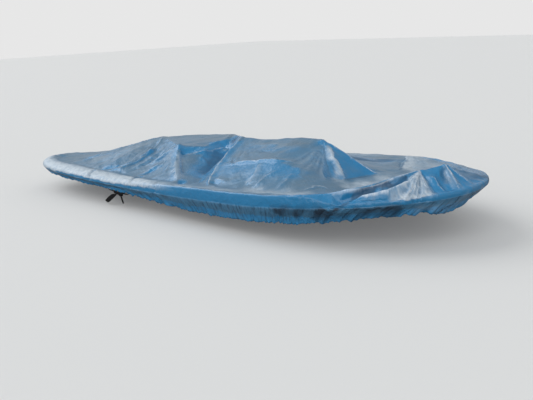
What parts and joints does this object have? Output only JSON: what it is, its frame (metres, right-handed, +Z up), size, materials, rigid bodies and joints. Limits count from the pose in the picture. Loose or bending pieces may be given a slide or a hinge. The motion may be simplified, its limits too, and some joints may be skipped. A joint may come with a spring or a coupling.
{
  "type": "boat cover",
  "caption": "Fitted boat cover of coated cloth, draped in humps over hidden seats and a bow fitting, with a gathered hem and a tape tie.",
  "frame": {"origin": "middle of the length on the centre line, at the height of the turned edge there", "axes": "+X to the bow, +Y to the far side, +Z up"},
  "size_m": [3.1004, 1.281, 0.4113],
  "materials": {
    "coated_cloth": "coated, with a soft shine",
    "tape": "woven, matte"
  },
  "bodies": {
    "root": {"cover_sheet": "coated_cloth", "tie_knot": "tape", "tie_tail_long": "tape", "tie_tail_short": "tape", "tie_run_aft": "tape", "tie_run_fore": "tape"}
  },
  "joints": []
}
